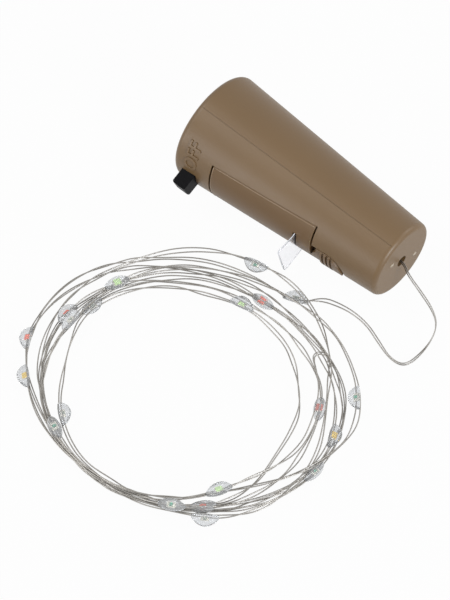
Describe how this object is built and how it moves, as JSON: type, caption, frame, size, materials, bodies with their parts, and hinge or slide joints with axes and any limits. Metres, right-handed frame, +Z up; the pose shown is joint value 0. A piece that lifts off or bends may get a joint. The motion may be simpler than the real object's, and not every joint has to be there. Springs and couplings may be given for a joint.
{
  "type": "cork bottle light",
  "caption": "Cork-shaped battery case for a bottle neck, with a slide switch, a battery door and a coiled string of small lights on thin wire.",
  "frame": {"origin": "middle of the case's footprint on the surface that it lies on; the coiled string lies on the same surface", "axes": "+X along the case from its big end to its small end, +Z up, -Y towards the coiled string"},
  "size_m": [0.0711, 0.0901, 0.0247],
  "materials": {
    "case_plastic": "fine moulded texture, taupe brown",
    "clear_film": "clear polyester film",
    "nickel_plate": "nickel plated",
    "black_plastic": "satin black",
    "tinned_steel": "tinned",
    "board_laminate": "green solder mask",
    "chip_ceramic": "black glaze",
    "solder": "bright solder",
    "red_insulation": "smooth insulation",
    "black_insulation": "smooth insulation",
    "hot_glue": "milky hot melt glue",
    "silver_wire": "silvered copper wire",
    "cell_steel": "nickel plated can",
    "clear_resin": "clear cast resin",
    "led_green": "chip under green-tinted resin",
    "led_red": "chip under red-tinted resin",
    "led_yellow": "chip under yellow-tinted resin"
  },
  "bodies": {
    "case": {"front_shell": "case_plastic", "back_shell": "case_plastic", "pull_tab": "clear_film", "minus_contact": "nickel_plate", "plus_contact": "nickel_plate", "switch_housing": "black_plastic", "switch_frame": "tinned_steel", "switch_terminals": "tinned_steel", "circuit_board": "board_laminate", "series_resistor": "chip_ceramic", "solder_joints": "solder", "hookup_wire_red": "red_insulation", "hookup_wire_black": "black_insulation", "outlet_glue": "hot_glue", "string_tails": "silver_wire", "button_cell_1": "cell_steel", "button_cell_2": "cell_steel", "button_cell_3": "cell_steel", "lead_wire": "silver_wire", "wire_coil": "silver_wire", "led_drops": "clear_resin", "led_chips_green": "led_green", "led_chips_red": "led_red", "led_chips_yellow": "led_yellow"},
    "switch_knob": {"switch_knob": "black_plastic"},
    "battery_door": {"battery_door": "case_plastic"}
  },
  "joints": [
    {"name": "switch_slide", "type": "slide", "parent": "case", "child": "switch_knob", "axis": [-0.0663, 0.3875, -0.9195], "range_m": [0, 0.002]},
    {"name": "door_swing", "type": "hinge", "parent": "case", "child": "battery_door", "pos_m": [-0.01633, -0.00837, 0.00765], "axis": [-0.0663, 0.3875, -0.9195], "range_deg": [0, 8]}
  ]
}
